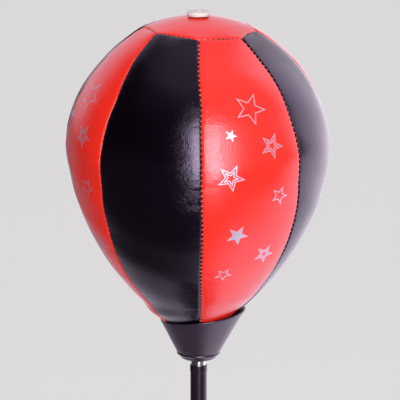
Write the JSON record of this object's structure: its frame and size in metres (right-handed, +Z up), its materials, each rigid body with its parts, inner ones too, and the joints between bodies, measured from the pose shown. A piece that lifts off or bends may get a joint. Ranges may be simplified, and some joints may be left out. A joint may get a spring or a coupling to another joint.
{
  "type": "free-standing punch ball",
  "caption": "Teardrop punch ball of red and black leather panels in a funnel cup, on a telescopic pole that sways on a coil spring in a round weighted base.",
  "frame": {"origin": "on the floor under the middle of the pole", "axes": "+Z up the pole; -Y is the front; the height knob points along +X"},
  "size_m": [0.38, 0.38, 1.0451],
  "materials": {
    "black_plastic": "satin",
    "black_paint": "semi-gloss powder coat",
    "black_leather": "glossy artificial leather",
    "red_leather": "glossy artificial leather",
    "bright_steel": "bright chrome plate",
    "brass": "machined",
    "rubber": "matt",
    "bladder_rubber": "matt",
    "white_rubber": "satin",
    "sand": "loose grains"
  },
  "bodies": {
    "base": {"base_shell": "black_plastic", "sand_ballast": "sand", "foot_pad_1": "rubber", "foot_pad_2": "rubber", "foot_pad_3": "rubber", "foot_pad_4": "rubber", "foot_pad_5": "rubber", "foot_pad_6": "rubber", "spring_lower_plug": "bright_steel", "lock_ring": "black_plastic"},
    "filler_cap": {"filler_cap": "black_plastic", "filler_seal": "rubber"},
    "spring": {"coil_spring": "bright_steel"},
    "lower_pole": {"spring_upper_plug": "bright_steel", "lower_tube": "black_paint", "clamp_housing": "black_plastic", "clamp_fixing_screw": "bright_steel"},
    "clamp_pad": {"clamp_pad": "brass"},
    "knob": {"knob_screw": "bright_steel", "height_knob": "black_plastic"},
    "upper_pole": {"upper_tube": "bright_steel", "upper_sleeve": "black_paint", "sleeve_ring": "black_plastic", "tube_stop": "black_plastic", "tube_stud": "bright_steel", "funnel": "black_plastic", "ball_flange": "black_plastic", "ball_nut": "brass", "bladder": "bladder_rubber", "bladder_valve": "white_rubber", "top_panel": "red_leather", "panel_red_1": "red_leather", "panel_black_1": "black_leather", "panel_red_2": "red_leather", "panel_black_2": "black_leather", "panel_red_3": "red_leather", "panel_black_3": "black_leather", "panel_red_4": "red_leather", "panel_black_4": "black_leather"}
  },
  "joints": [
    {"name": "filler_cap_lift", "type": "slide", "parent": "base", "child": "filler_cap", "axis": [0, 0, 1], "range_m": [0, 0.06]},
    {"name": "sway_front_back", "type": "hinge", "parent": "base", "child": "spring", "pos_m": [0, 0, 0.151], "axis": [1, 0, 0], "range_deg": [-35, 35], "stiffness_Nm_per_rad": 40, "deforming": ["coil_spring"]},
    {"name": "sway_side", "type": "hinge", "parent": "spring", "child": "lower_pole", "pos_m": [0, 0, 0.211], "axis": [0, 1, 0], "range_deg": [-35, 35], "stiffness_Nm_per_rad": 40},
    {"name": "height_slide", "type": "slide", "parent": "lower_pole", "child": "upper_pole", "axis": [0, 0, 1], "range_m": [-0.09, 0.12]},
    {"name": "pad_slide", "type": "slide", "parent": "lower_pole", "child": "clamp_pad", "axis": [1, 0, 0], "range_m": [0, 0.0021]},
    {"name": "knob_turn", "type": "hinge", "parent": "clamp_pad", "child": "knob", "pos_m": [0.033, 0, 0.587], "axis": [1, 0, 0], "range_deg": [0, 720]}
  ],
  "couplings": [
    {"joint": "pad_slide", "follows": "knob_turn", "m_per_rad": 0.00015915}
  ]
}
